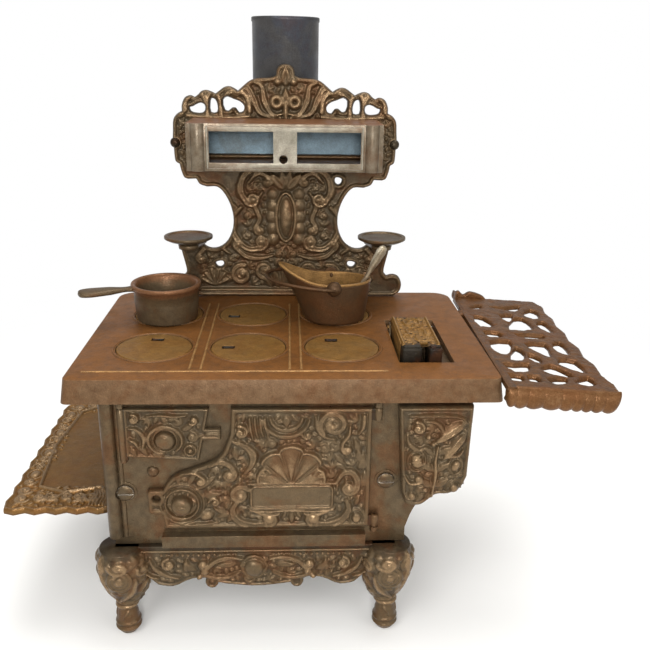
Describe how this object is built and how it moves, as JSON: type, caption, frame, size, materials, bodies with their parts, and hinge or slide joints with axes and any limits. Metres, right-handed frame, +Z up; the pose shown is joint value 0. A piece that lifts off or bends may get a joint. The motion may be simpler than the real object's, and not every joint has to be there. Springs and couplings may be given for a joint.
{
  "type": "toy cooking range",
  "caption": "Toy cast iron cooking range with lift-out lids, hinged doors, a high back with a warming closet, side shelves, a pipe, a saucepan and a coal scuttle.",
  "frame": {"origin": "middle of the outer box, on the floor under the feet", "axes": "+X to the stove's own right as seen from the front, +Y from the doors to the pipe, +Z up"},
  "size_m": [0.358, 0.2198, 0.361],
  "materials": {
    "body_iron": "aged plating worn to brown iron",
    "hob_iron": "rust brown",
    "lid_iron": "olive gold patina",
    "closet_plate": "dull beige nickel plating",
    "blue_sheet": "blue-grey",
    "dark_steel": "dark",
    "worn_bolt": "worn iron",
    "pan_iron": "brown iron",
    "pale_metal": "dull pale gold",
    "shelf_iron": "dark rust",
    "hearth_iron": "brown gold patina",
    "pipe_steel": "dark grey, smooth"
  },
  "bodies": {
    "stove": {"base": "body_iron", "front_panel": "body_iron", "left_end": "body_iron", "right_end": "body_iron", "rear_panel": "body_iron", "bottom_plate": "body_iron", "firebox_divider": "body_iron", "fire_grate": "body_iron", "hob_top": "hob_iron", "reservoir_front": "body_iron", "reservoir_casing": "body_iron", "reservoir_tank": "body_iron", "high_back": "body_iron", "closet": "closet_plate", "closet_liner": "blue_sheet", "tie_bolt_left": "worn_bolt", "tie_bolt_right": "worn_bolt", "tie_nut_left": "worn_bolt", "tie_nut_right": "worn_bolt", "back_screw_left": "dark_steel", "back_screw_right": "dark_steel", "closet_rivet_left": "dark_steel", "closet_rivet_right": "dark_steel", "oven_pin_lower": "dark_steel", "oven_pin_upper": "dark_steel", "fire_door_pin": "dark_steel"},
    "oven_door": {"oven_door": "body_iron"},
    "fire_door": {"fire_door": "body_iron"},
    "reservoir_lid": {"reservoir_lid": "lid_iron"},
    "lid_front_left": {"lid_front_left": "lid_iron"},
    "lid_front_middle": {"lid_front_middle": "lid_iron"},
    "lid_front_right": {"lid_front_right": "lid_iron"},
    "lid_back_left": {"lid_back_left": "lid_iron"},
    "lid_back_middle": {"lid_back_middle": "lid_iron"},
    "lid_back_right": {"lid_back_right": "lid_iron"},
    "saucepan": {"saucepan": "pan_iron"},
    "scuttle": {"scuttle": "pan_iron"},
    "scuttle_bail": {"scuttle_bail": "pan_iron"},
    "shovel": {"shovel": "pale_metal"},
    "pierced_shelf": {"pierced_shelf": "shelf_iron"},
    "hearth_shelf": {"hearth_shelf": "hearth_iron"},
    "tea_shelf_left": {"tea_shelf_left": "hob_iron"},
    "tea_shelf_right": {"tea_shelf_right": "hob_iron"},
    "stove_pipe": {"stove_pipe": "pipe_steel"}
  },
  "joints": [
    {"name": "oven_door_hinge", "type": "hinge", "parent": "stove", "child": "oven_door", "pos_m": [0.04078, -0.09666, 0.1134], "axis": [0, 0, 1], "range_deg": [0, 105]},
    {"name": "fire_door_hinge", "type": "hinge", "parent": "stove", "child": "fire_door", "pos_m": [-0.10242, -0.09666, 0.136], "axis": [0, 0, -1], "range_deg": [0, 100]},
    {"name": "reservoir_lid_hinge", "type": "hinge", "parent": "stove", "child": "reservoir_lid", "pos_m": [0.06788, -0.02126, 0.1726], "axis": [-1, 0, 0], "range_deg": [0, 95]},
    {"name": "lid_front_left_lift", "type": "slide", "parent": "stove", "child": "lid_front_left", "axis": [0, 0, 1], "range_m": [0, 0.025]},
    {"name": "lid_front_middle_lift", "type": "slide", "parent": "stove", "child": "lid_front_middle", "axis": [0, 0, 1], "range_m": [0, 0.025]},
    {"name": "lid_front_right_lift", "type": "slide", "parent": "stove", "child": "lid_front_right", "axis": [0, 0, 1], "range_m": [0, 0.025]},
    {"name": "lid_back_left_lift", "type": "slide", "parent": "stove", "child": "lid_back_left", "axis": [0, 0, 1], "range_m": [0, 0.01]},
    {"name": "lid_back_middle_lift", "type": "slide", "parent": "stove", "child": "lid_back_middle", "axis": [0, 0, 1], "range_m": [0, 0.025]},
    {"name": "lid_back_right_lift", "type": "slide", "parent": "stove", "child": "lid_back_right", "axis": [0, 0, 1], "range_m": [0, 0.025]},
    {"name": "saucepan_lift", "type": "slide", "parent": "lid_back_left", "child": "saucepan", "axis": [0, -0.5, 0.866], "range_m": [0, 0.06]},
    {"name": "scuttle_lift", "type": "slide", "parent": "lid_back_right", "child": "scuttle", "axis": [0, -0.5, 0.866], "range_m": [0, 0.07]},
    {"name": "bail_swing", "type": "hinge", "parent": "scuttle", "child": "scuttle_bail", "pos_m": [0.01918, 0.00014, 0.19702], "axis": [0, 1, 0], "range_deg": [0, 85]},
    {"name": "shovel_draw", "type": "slide", "parent": "scuttle", "child": "shovel", "axis": [0, 0, 1], "range_m": [0, 0.045]},
    {"name": "pierced_shelf_lift", "type": "slide", "parent": "stove", "child": "pierced_shelf", "axis": [0, 0, 1], "range_m": [0, 0.02]},
    {"name": "hearth_shelf_lift", "type": "slide", "parent": "stove", "child": "hearth_shelf", "axis": [0, 0, 1], "range_m": [0, 0.02]},
    {"name": "tea_shelf_left_turn", "type": "hinge", "parent": "stove", "child": "tea_shelf_left", "pos_m": [-0.07842, 0.03614, 0.219], "axis": [0, 0, 1], "continuous": true},
    {"name": "tea_shelf_right_turn", "type": "hinge", "parent": "stove", "child": "tea_shelf_right", "pos_m": [0.05478, 0.03614, 0.219], "axis": [0, 0, 1], "continuous": true},
    {"name": "stove_pipe_lift", "type": "slide", "parent": "stove", "child": "stove_pipe", "axis": [0, 0, 1], "range_m": [0, 0.03]}
  ]
}
